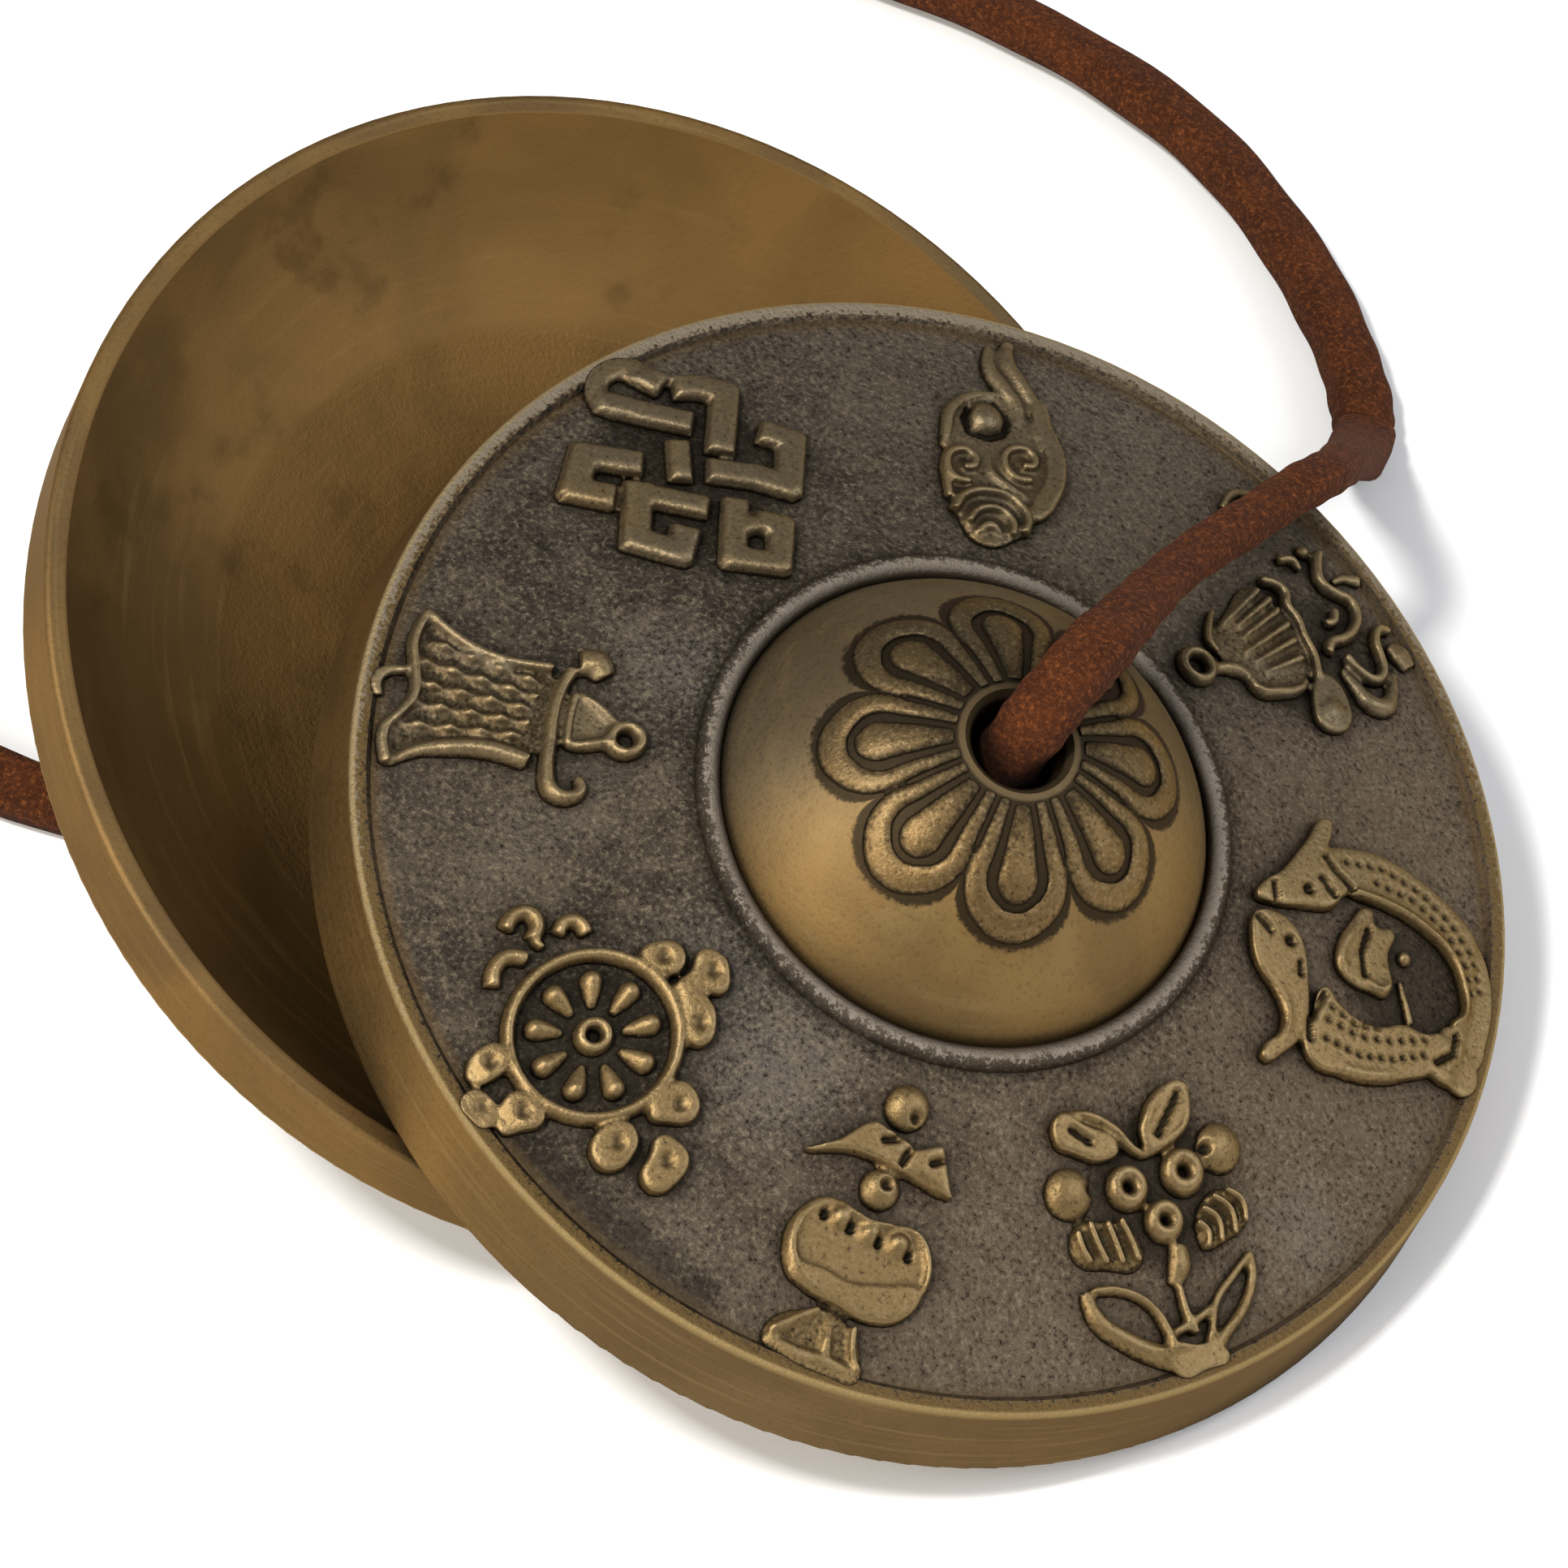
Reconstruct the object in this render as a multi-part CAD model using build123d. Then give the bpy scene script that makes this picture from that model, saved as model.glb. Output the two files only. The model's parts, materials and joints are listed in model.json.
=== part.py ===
"""Tingsha: a pair of cast bell-metal cymbals joined by one suede thong, lying as a leaning pair.

Units are millimetres. The floor is z = 0, +Z is up, and +X is the way that both cymbals lean.
The lower cymbal lies boss down, and the upper one lies boss up across its lip.
"""
import math
import os

from build123d import *

# Casting: radii are from the axis, heights from the plane of the lip
plate_radius = 35.0
lip_flare = 0.8
lip_radius = plate_radius + lip_flare
lip_width = 1.3
wall_height = 6.9
edge_round = 0.4
rim_width = 0.9
rim_step = 0.35
plate_rise = 4.4
boss_radius = 15.4
bead_radius = 0.75
crown_height = 20.9
crown_thickness = 3.0
hole_radius = 2.75
mouth_round = 0.5
hollow_radius = 11.6
hollow_height = 8.4
hollow_bevel = 1.0
bowl_bend = (plate_radius - 8.0, 5.2)

# Thong and its two stopper knots
strap_radius = 1.9
floor_gap = 0.1
seat_gap = 0.3
knot_ring = 3.1
knot_core = 2.4
tail_length = 9.0
tail_splay = 24.0

# How the pair lies
boss_lift = 2.3
lip_gap = 0.3
overlap_offset = 0.594 * plate_radius

# Route of the thong, chosen by hand for the nominal casting and grown with it
nominal_radius = 35.0
growth = plate_radius / nominal_radius

# Over the upper plate: part of the plate radius, sideways drift, height above the crown-to-rim line
arch_points = [
    (0.000, 0.0, 4.5),
    (0.083, 0.1, 8.3),
    (0.190, 0.2, 9.6),
    (0.330, 0.3, 9.4),
    (0.500, 1.0, 7.5),
    (0.683, 1.9, 6.2),
    (0.869, 2.5, 5.2),
    (1.000, 2.9, 3.4),
]

# Down to the floor past the rim: x, y, and part of the rim point's height above the floor run
drop_points = [
    (13.5, 40.6, 0.735),
    (10.3, 46.6, 0.370),
    (8.3, 50.6, 0.150),
    (7.0, 53.2, 0.018),
]

# Along the floor from the fold, round the loop and back under the lower cymbal: x, y
floor_points = [
    (4.8, 56.6),
    (1.0, 60.3),
    (-6.0, 65.4),
    (-16.8, 70.7),
    (-30.4, 72.6),
    (-45.0, 71.5),
    (-60.0, 68.0),
    (-75.0, 62.0),
    (-89.0, 53.0),
    (-99.0, 40.5),
    (-103.0, 25.0),
    (-99.0, 9.5),
    (-88.5, -3.0),
    (-74.5, -11.5),
    (-60.0, -16.0),
    (-46.6, -16.7),
    (-34.0, -12.5),
    (-26.0, -6.2),
]


def sphere_through(inner, outer):
    """Centre height and radius of the arc on the axis through two (radius, height) points."""
    rise = outer[1] - inner[1]
    spread = outer[0] ** 2 - inner[0] ** 2
    centre = (spread + outer[1] ** 2 - inner[1] ** 2) / (2 * rise)
    return centre, math.hypot(inner[0], inner[1] - centre)


plate_top = wall_height + plate_rise
dome_foot = (boss_radius - bead_radius, plate_top)
dome_mouth = (hole_radius + mouth_round, crown_height)
dome_centre, dome_radius = sphere_through(dome_mouth, dome_foot)
hollow_mouth = (hole_radius, crown_height - crown_thickness)
hollow_foot = (hollow_radius, hollow_height)
hollow_centre, hollow_sphere = sphere_through(hollow_mouth, hollow_foot)
knot_room = hollow_sphere - seat_gap - strap_radius
knot_height = hollow_centre + math.sqrt(knot_room ** 2 - knot_ring ** 2)
knot_top = knot_height + strap_radius


def arc_middle(inner, outer, centre, radius):
    """The point half way along an arc that is centred on the axis."""
    start = math.atan2(inner[0], inner[1] - centre)
    end = math.atan2(outer[0], outer[1] - centre)
    angle = (start + end) / 2
    return radius * math.sin(angle), centre + radius * math.cos(angle)


# Where the pair comes to lie, worked out from the casting
def lower_lean():
    """Lean at which the lower plate's rim meets the floor while the thong holds its boss up."""
    reach = plate_radius - edge_round
    height = wall_height - edge_round - dome_centre
    target = dome_radius + boss_lift - edge_round
    return math.asin(target / math.hypot(reach, height)) - math.atan2(height, reach)


def crossing_reach():
    """How far up its slope from the upper axis the two lips still cross."""
    lip_inner = lip_radius - lip_width
    return (lip_radius ** 2 + overlap_offset ** 2 - lip_inner ** 2) / (2 * overlap_offset)


lean_lower = lower_lean()
lower_height = dome_centre * math.cos(lean_lower) + dome_radius + boss_lift
lean_upper = lean_lower
for _ in range(40):
    lip_rise = lip_gap + crossing_reach() * math.sin(lean_lower - lean_upper)
    upper_height = lower_height - overlap_offset * math.sin(lean_lower) + lip_rise * math.cos(lean_lower)
    foot = upper_height + edge_round * math.cos(lean_upper) - edge_round
    lean_upper = math.asin(foot / (lip_radius - edge_round))

upper_shift = overlap_offset * math.cos(lean_lower) + lip_rise * math.sin(lean_lower)
left_reach = plate_radius * math.cos(lean_lower) + wall_height * math.sin(lean_lower)
right_reach = plate_radius * math.cos(lean_upper) + wall_height * math.sin(lean_upper)
lower_x = (left_reach - right_reach - upper_shift) / 2
upper_x = lower_x + upper_shift

lower_axis = Vector(-math.sin(lean_lower), 0, -math.cos(lean_lower))
upper_axis = Vector(math.sin(lean_upper), 0, math.cos(lean_upper))
lower_lip = Vector(lower_x, 0, lower_height)
upper_lip = Vector(upper_x, 0, upper_height)
upper_downhill = Vector(math.cos(lean_upper), 0, -math.sin(lean_upper))
lower_frame = Plane(origin=lower_lip, x_dir=(0, 1, 0), z_dir=lower_axis)
upper_frame = Plane(origin=upper_lip, x_dir=upper_downhill, z_dir=upper_axis)


def cymbal():
    """One casting, revolved: plate, raised rim, beaded boss, holed crown and the hollow beneath."""
    rim_top = Vector(plate_radius, wall_height)
    wall_foot = Vector(lip_radius, 0)
    lip_edge = Vector(lip_radius - lip_width, 0)
    bead_out = Vector(boss_radius + bead_radius, plate_top)
    bead_top = Vector(boss_radius, plate_top + bead_radius)
    rim_inner = Vector(plate_radius - rim_width, wall_height)
    plate_edge = Vector(plate_radius - rim_width - rim_step, wall_height - rim_step)
    hole_top = Vector(hole_radius, crown_height - mouth_round)
    bevel_end = Vector(hollow_radius + hollow_bevel, hollow_height - hollow_bevel)
    dome_middle = arc_middle(dome_mouth, dome_foot, dome_centre, dome_radius)
    hollow_middle = arc_middle(hollow_mouth, hollow_foot, hollow_centre, hollow_sphere)
    outline = [
        Line(lip_edge, wall_foot),
        Line(wall_foot, rim_top),
        Line(rim_top, rim_inner),
        Line(rim_inner, plate_edge),
        Line(plate_edge, bead_out),
        ThreePointArc(bead_out, bead_top, dome_foot),
        ThreePointArc(dome_foot, dome_middle, dome_mouth),
        Line(dome_mouth, hole_top),
        Line(hole_top, hollow_mouth),
        ThreePointArc(hollow_mouth, hollow_middle, hollow_foot),
        Line(hollow_foot, bevel_end),
        ThreePointArc(bevel_end, bowl_bend, lip_edge),
    ]
    section = make_face(Wire(outline))
    corners = [corner for corner in section.vertices() if corner.X > plate_radius - edge_round]
    section = fillet(corners, edge_round)
    return revolve(Plane.XZ * section, Axis.Z)


standing = (Align.CENTER, Align.CENTER, Align.MIN)


def knot(core_top):
    """Stopper knot under the crown: one turn of thong round its own end, and the cut tail."""
    core_foot = knot_height - 2 * strap_radius
    turn = Pos(0, 0, knot_height) * Torus(knot_ring, strap_radius)
    core = Pos(0, 0, core_foot) * Cylinder(strap_radius, core_top - core_foot, align=standing)
    bulge = Pos(0, 0, core_foot) * Sphere(knot_core)
    tail = Rot(180 - tail_splay, 0, 0) * Cylinder(strap_radius, tail_length, align=standing)
    return turn + core + bulge + Pos(0, 0, core_foot) * tail


def tube(name, points):
    """The thong as a tube along straight runs and the largest tangent arcs that they allow."""
    radii = []
    for before, corner, after in zip(points, points[1:], points[2:]):
        shorter = min((corner - before).length, (after - corner).length)
        turn = math.radians((corner - before).get_angle(after - corner))
        radii.append(0.45 * shorter / math.tan(turn / 2))
    path = FilletPolyline(*points, radius=radii)
    section = Plane(origin=points[0], z_dir=points[1] - points[0]) * Circle(strap_radius)
    solid = sweep(section, path=path)
    share = solid.volume / (math.pi * strap_radius ** 2 * path.length)
    print(name, "length", round(path.length, 1), "volume share", round(share, 3))
    print("  radii", [round(radius, 1) for radius in radii])
    return solid


# The thong's whole route, from the upper crown to the lower one
crown_exit = crown_height + seat_gap
arch = [upper_frame.from_local_coords(Vector(0, 0, crown_exit))]
for share, drift, above in arch_points:
    line_height = crown_height + (wall_height - crown_height) * share
    local = Vector(drift * growth, share * plate_radius, line_height + above)
    arch.append(upper_frame.from_local_coords(local))

floor_run = strap_radius + floor_gap
rim_point = arch[-1]
drop = []
for x, y, share in drop_points:
    drop.append(Vector(x * growth, y * growth, floor_run + share * (rim_point.Z - floor_run)))

loop = [Vector(x * growth, y * growth, floor_run) for x, y in floor_points]
lower_mouth = lower_lip + lower_axis * crown_height
turn_reach = (lower_mouth.Z - floor_run) / -lower_axis.Z
loop.append(lower_mouth + lower_axis * turn_reach)
loop.append(lower_lip + lower_axis * knot_top)

drop.append(loop.pop(0))
rim_joint = (rim_point + drop[0]) * 0.5
floor_joint = (drop[-1] + loop[0]) * 0.5

parts = {
    "lower_cymbal": lower_frame * cymbal(),
    "upper_cymbal": upper_frame * cymbal(),
    "lower_knot": lower_frame * knot(knot_top),
    "upper_knot": upper_frame * knot(crown_exit),
    "strap_over_plate": tube("strap_over_plate", arch + [rim_joint]),
    "strap_drop": tube("strap_drop", [rim_joint] + drop + [floor_joint]),
    "strap_loop": tube("strap_loop", [floor_joint] + loop),
}

os.makedirs("parts", exist_ok=True)
for name, shape in parts.items():
    print(name, "volume", round(shape.volume), "solids", len(shape.solids()), "valid", shape.is_valid)
    export_step(shape, f"parts/{name}.step")

print("lean", round(math.degrees(lean_lower), 2), round(math.degrees(lean_upper), 2))
print("lower lip", lower_lip, "axis", lower_axis)
print("upper lip", upper_lip, "axis", upper_axis)
print("upper foot", upper_lip + upper_downhill * lip_radius)
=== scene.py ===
"""Looks of the tingsha: cast bell-metal cymbals with raised ornament, and the suede thong that joins them.

Everything is in metres in the row frame. Ornament is drawn flat, on the plate's plan, first.
"""

import json
import math

import bpy
import numpy as np
from mathutils import Euler, Matrix, Vector

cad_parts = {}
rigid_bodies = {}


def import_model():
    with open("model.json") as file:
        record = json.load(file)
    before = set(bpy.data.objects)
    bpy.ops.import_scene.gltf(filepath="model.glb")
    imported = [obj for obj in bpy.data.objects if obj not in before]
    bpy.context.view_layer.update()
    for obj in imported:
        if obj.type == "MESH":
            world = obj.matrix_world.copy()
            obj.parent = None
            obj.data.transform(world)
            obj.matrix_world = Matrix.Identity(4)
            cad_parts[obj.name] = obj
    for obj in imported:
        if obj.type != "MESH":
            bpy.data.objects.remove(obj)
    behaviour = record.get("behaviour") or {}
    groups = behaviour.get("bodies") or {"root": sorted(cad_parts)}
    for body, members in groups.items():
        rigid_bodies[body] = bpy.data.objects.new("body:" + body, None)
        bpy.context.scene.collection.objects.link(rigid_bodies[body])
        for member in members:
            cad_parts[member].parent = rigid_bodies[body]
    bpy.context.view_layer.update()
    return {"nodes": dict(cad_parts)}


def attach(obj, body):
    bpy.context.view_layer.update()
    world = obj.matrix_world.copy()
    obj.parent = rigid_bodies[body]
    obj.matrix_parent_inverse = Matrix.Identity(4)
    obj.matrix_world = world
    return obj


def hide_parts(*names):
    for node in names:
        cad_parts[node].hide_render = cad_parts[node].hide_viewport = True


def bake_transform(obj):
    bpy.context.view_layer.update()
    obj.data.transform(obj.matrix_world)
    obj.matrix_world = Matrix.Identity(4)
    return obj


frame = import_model()

MM = 0.001

# Where the two castings lie: the middle of each lip's plane, and the lean of each axis
UPPER_LIP = (0.00901179, 0, 0.0141077)
LOWER_LIP = (-0.00991045, 0, 0.0228531)
UPPER_TURN = (0, math.radians(23.43), 0)
LOWER_TURN = (math.pi, math.radians(28.99), 0)

# The casting's profile in millimetres, as the ornament and the finish need it
PLATE_EDGE = (33.75, 6.55)
PLATE_FOOT = (16.15, 11.3)
PLATE_SLOPE = (PLATE_EDGE[1] - PLATE_FOOT[1]) / (PLATE_EDGE[0] - PLATE_FOOT[0])
RIM_SHOULDER = 0.6
RIM_RUN = 0.5
RIM_HEIGHT = 6.9
DOME_FOOT = 14.65
DOME_CENTRE = 5.47
DOME_RADIUS = 15.77

# The thong's section in millimetres, and how square its corners are
THONG_WIDTH = 3.8
THONG_THICKNESS = 2.9
THONG_CORNER = 0.6

# How slim it is over the upper plate and in the knots, and the distances from the crown that this fades over
SLIM = 0.74
SLIM_REACH = (8, 16, 44, 56)

# Unevenness along it: share of the width, and pace in radians for each point of the line
WOBBLES = ((0.025, 0.9), (0.02, 0.37))

# How far the lower casting's ornament is turned against the upper one's
LOWER_ORNAMENT_TURN = math.radians(140)

# The flower round the crown hole: the notches between its petals, and how far the tips pass them
PETAL_COUNT = 8
PETAL_TURN = math.radians(-5)
PETAL_NOTCH = 8.3
PETAL_SWELL = 2.5


def linear(hex_colour):
    """An sRGB hex colour as linear red, green, blue and alpha."""
    channels = [int(hex_colour[i:i + 2], 16) / 255 for i in (1, 3, 5)]
    return [c / 12.92 if c <= 0.04045 else ((c + 0.055) / 1.055) ** 2.4 for c in channels] + [1.0]


def fill(tree, node, inputs):
    """Sets a node's inputs: each is a value or another node's output."""
    for name, value in inputs.items():
        if isinstance(value, bpy.types.NodeSocket):
            tree.links.new(value, node.inputs[name])
        else:
            node.inputs[name].default_value = value


def add(tree, kind, inputs=None, output=0, **settings):
    """Adds a shader node with its settings and inputs, and gives back one of its outputs."""
    node = tree.nodes.new("ShaderNode" + kind)
    for name, value in settings.items():
        setattr(node, name, value)
    fill(tree, node, inputs or {})
    return node.outputs[output]


def new_material(name):
    """An empty material: its node tree and its surface shader."""
    material = bpy.data.materials.new(name)
    material.use_nodes = True
    tree = material.node_tree
    return material, tree, tree.nodes["Principled BSDF"]


def put(name, data):
    """A new object in the scene."""
    thing = bpy.data.objects.new(name, data)
    bpy.context.collection.objects.link(thing)
    return thing


def place_camera():
    """The camera, fitted so that both lips, plate edges and bosses lie on their outlines."""
    data = bpy.data.cameras.new("camera")
    data.sensor_width = 36
    data.lens = 186.3
    data.clip_start = 0.01
    data.clip_end = 20
    right = Vector((0.8157, 0.578, -0.0228)).normalized()
    forward = Vector((-0.382, 0.5086, -0.7716)).normalized()
    up = right.cross(forward)
    camera = put("camera", data)
    turn = Matrix((right, up, -forward)).transposed()
    spot = Matrix.Translation((0.18105, -0.24015, 0.38246))
    camera.matrix_world = spot @ turn.to_4x4()
    bpy.context.scene.camera = camera


def place_light(name, position, size, power, colour):
    """A soft panel light that faces the cymbals."""
    data = bpy.data.lights.new(name, "AREA")
    data.size = size
    data.energy = power
    data.color = linear(colour)[:3]
    light = put(name, data)
    light.location = position
    middle = Vector((0, 0, 0.015))
    light.rotation_euler = (middle - Vector(position)).to_track_quat("-Z", "Y").to_euler()


def place_floor():
    """A plain pale sheet of paper to lie on."""
    bpy.ops.mesh.primitive_plane_add(size=6, location=(0, 0, 0))
    floor = bpy.context.object
    floor.name = "floor"
    material, tree, surface = new_material("pale_paper")
    fill(tree, surface, {"Base Color": linear("#f4f3f0"), "Roughness": 0.85, "Specular IOR Level": 0.2})
    floor.data.materials.append(material)


def place_studio():
    """Soft light from all round, with three panels."""
    world = bpy.data.worlds.new("studio")
    world.use_nodes = True
    tree = world.node_tree
    fill(tree, tree.nodes["Background"], {"Color": linear("#f2f3f5"), "Strength": 0.55})
    bpy.context.scene.world = world
    place_light("key", (-0.25, -0.75, 0.55), 0.55, 6.5, "#fff6ea")
    place_light("fill", (0.7, 0.35, 0.6), 0.7, 5, "#eef3ff")
    place_light("top", (-0.05, -0.4, 0.9), 0.12, 7, "#ffffff")
    bpy.context.scene.view_settings.view_transform = "Standard"
    bpy.context.scene.view_settings.look = "None"


def plate_height(radius):
    """Height of the casting's outer face over its lip plane, in millimetres, at each radius."""
    shoulder = PLATE_EDGE[0] - RIM_SHOULDER
    plate = PLATE_FOOT[1] + PLATE_SLOPE * (radius - PLATE_FOOT[0])
    edge = PLATE_FOOT[1] + PLATE_SLOPE * (shoulder - PLATE_FOOT[0])
    rise = np.interp(radius, (shoulder, PLATE_EDGE[0] + RIM_RUN), (edge, RIM_HEIGHT))
    dome = DOME_CENTRE + np.sqrt(np.maximum(DOME_RADIUS ** 2 - radius ** 2, 0))
    height = np.where(radius > shoulder, rise, plate)
    return np.where(radius < DOME_FOOT, dome, height)


# Finishes: the direction the tones shift along, the grime and painted shade, the ornament's dark foot with
# patina and painted shade, and the tint of the metal's shine
TONE_SLANT = (0.71, -0.7, 0)
GRIME_AND_SHADE = "#15120d"
FOOT_PATINA_AND_SHADE = "#1d1913"
SHINE = "#c9b08a"

# Farther from every spot than any finish looks, in millimetres
FAR_AWAY = 13.8


def layered(tree, base, layers):
    """A colour built up in layers: each lays its own colour on as its value goes from low to high."""
    colour = linear(base)
    for value, low, high, share, hex_colour in layers:
        spread = {"Value": value, "From Min": low, "From Max": high, "To Max": share}
        amount = add(tree, "MapRange", spread, interpolation_type="SMOOTHSTEP")
        mixed = {0: amount, 6: colour, 7: linear(hex_colour)}
        colour = add(tree, "Mix", mixed, output=2, data_type="RGBA")
    return colour


def cast_coordinates(tree, lip, turn):
    """Place in the casting's own millimetres: its axes, its radius and its reach along TONE_SLANT."""
    place = add(tree, "TexCoord", output="Object")
    settings = {"Vector": place, "Location": lip, "Rotation": turn, "Scale": (MM, MM, MM)}
    place = add(tree, "Mapping", settings, vector_type="TEXTURE")
    axes = add(tree, "SeparateXYZ", {"Vector": place}).node.outputs
    flat = add(tree, "VectorMath", {0: place, 1: (1, 1, 0)}, operation="MULTIPLY")
    radius = add(tree, "VectorMath", {0: flat}, output="Value", operation="LENGTH")
    along_slant = add(tree, "VectorMath", {0: place, 1: TONE_SLANT}, output="Value", operation="DOT_PRODUCT")
    return place, axes, radius, along_slant


def grime_and_painted_shade(tree, colour, distance, closed, clear, dirt_and_shade):
    """Lays grime and painted shade, up to the share dirt_and_shade, where the open sky within a distance
    goes from clear to closed.
    """
    sky = add(tree, "AmbientOcclusion", {"Distance": distance * MM}, output="AO", samples=4)
    gloom = {"Value": sky, "From Min": closed, "From Max": clear, "To Min": dirt_and_shade, "To Max": 0.0}
    gloom = add(tree, "MapRange", gloom)
    return add(tree, "Mix", {0: gloom, 6: colour, 7: linear(GRIME_AND_SHADE)}, output=2, data_type="RGBA")


def turned_marks(tree, axes, radius):
    """Faint rings that a lathe and a buffing wheel leave, about 0.3 mm apart."""
    angle = add(tree, "Math", {0: axes["Y"], 1: axes["X"]}, operation="ARCTAN2")
    reach = add(tree, "Math", {0: radius, 1: axes["Z"]}, operation="ADD")
    spot = add(tree, "CombineXYZ", {"X": reach, "Y": angle})
    spot = add(tree, "Mapping", {"Vector": spot, "Scale": (3.0, 2.5, 1.0)})
    return add(tree, "TexNoise", {"Vector": spot, "Scale": 1.0, "Detail": 4.0})


def hollow_mask(tree, axes, radius):
    """One inside the hollow, nought on the outer faces and the lip."""
    plate_skin = {"From Min": 1.0, "From Max": 1.6}
    lip_edge = {"From Min": 34.7, "From Max": 34.45}
    dome_skin = {"From Min": 15.2, "From Max": 14.5}
    foot = PLATE_FOOT[1] - PLATE_SLOPE * PLATE_FOOT[0]
    plate = add(tree, "Math", {0: radius, 1: PLATE_SLOPE, 2: foot}, operation="MULTIPLY_ADD")
    depth = add(tree, "Math", {0: plate, 1: axes["Z"]}, operation="SUBTRACT")
    deep = add(tree, "MapRange", {"Value": depth, **plate_skin})
    inside = add(tree, "MapRange", {"Value": radius, **lip_edge})
    under_plate = add(tree, "Math", {0: deep, 1: inside}, operation="MULTIPLY")
    rise = add(tree, "Math", {0: axes["Z"], 1: DOME_CENTRE}, operation="SUBTRACT")
    spoke = add(tree, "CombineXYZ", {"X": radius, "Y": rise})
    reach = add(tree, "VectorMath", {0: spoke}, output="Value", operation="LENGTH")
    under_dome = add(tree, "MapRange", {"Value": reach, **dome_skin})
    below_boss = add(tree, "Math", {0: radius, 1: DOME_FOOT}, operation="LESS_THAN")
    return add(tree, "Mix", {0: below_boss, 2: under_plate, 3: under_dome})


def beyond_spots(tree, axes, spots):
    """How far outside the nearest of some round spots: each is x, y and its reach in millimetres."""
    flat = add(tree, "CombineXYZ", {"X": axes["X"], "Y": axes["Y"]})
    nearest = FAR_AWAY
    for x, y, reach in spots:
        away = add(tree, "VectorMath", {0: flat, 1: (x, y, 0)}, output="Value", operation="DISTANCE")
        away = add(tree, "Math", {0: away, 1: reach}, operation="SUBTRACT")
        nearest = add(tree, "Math", {0: away, 1: nearest}, operation="MINIMUM")
    return nearest


# Where dark patina gathers, within the symbols and beside the rim, and where the plate is worn silvery
PATINA_SPOTS = [
    (-7.25, -25.45, 4.3), (25.6, 12.2, 3.8), (22.3, -9.4, 4.6), (-25.2, 6.6, 5.6), (9.0, 25.0, 4.6),
    (-5.2, -32.8, 1.4), (-2.9, -33.1, 1.7), (-0.6, -33.2, 1.9), (1.7, -33.1, 1.9), (4.0, -32.9, 1.8),
    (6.3, -32.6, 1.5),
]
WORN_SPOTS = [(1.5, -20.0, 3.5), (-4.5, -18.5, 2.5), (-17.5, -5.0, 2.0), (30.0, -4.0, 2.0)]


def past_petals(tree, axes, radius, ornament_turn):
    """The radius less the swell of the petal at that angle: PETAL_NOTCH all along the flower's edge."""
    half = math.pi / PETAL_COUNT
    angle = add(tree, "Math", {0: axes["Y"], 1: axes["X"]}, operation="ARCTAN2")
    angle = add(tree, "Math", {0: angle, 1: PETAL_TURN + ornament_turn}, operation="SUBTRACT")
    swing = add(tree, "Math", {0: angle, 1: half, 2: -half}, operation="WRAP")
    square = add(tree, "Math", {0: swing, 1: swing}, operation="MULTIPLY")
    left = add(tree, "Math", {0: square, 1: -1 / half ** 2, 2: 1.0}, operation="MULTIPLY_ADD")
    swell = add(tree, "Math", {0: left}, operation="SQRT")
    return add(tree, "Math", {0: swell, 1: -PETAL_SWELL, 2: radius}, operation="MULTIPLY_ADD")


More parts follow.
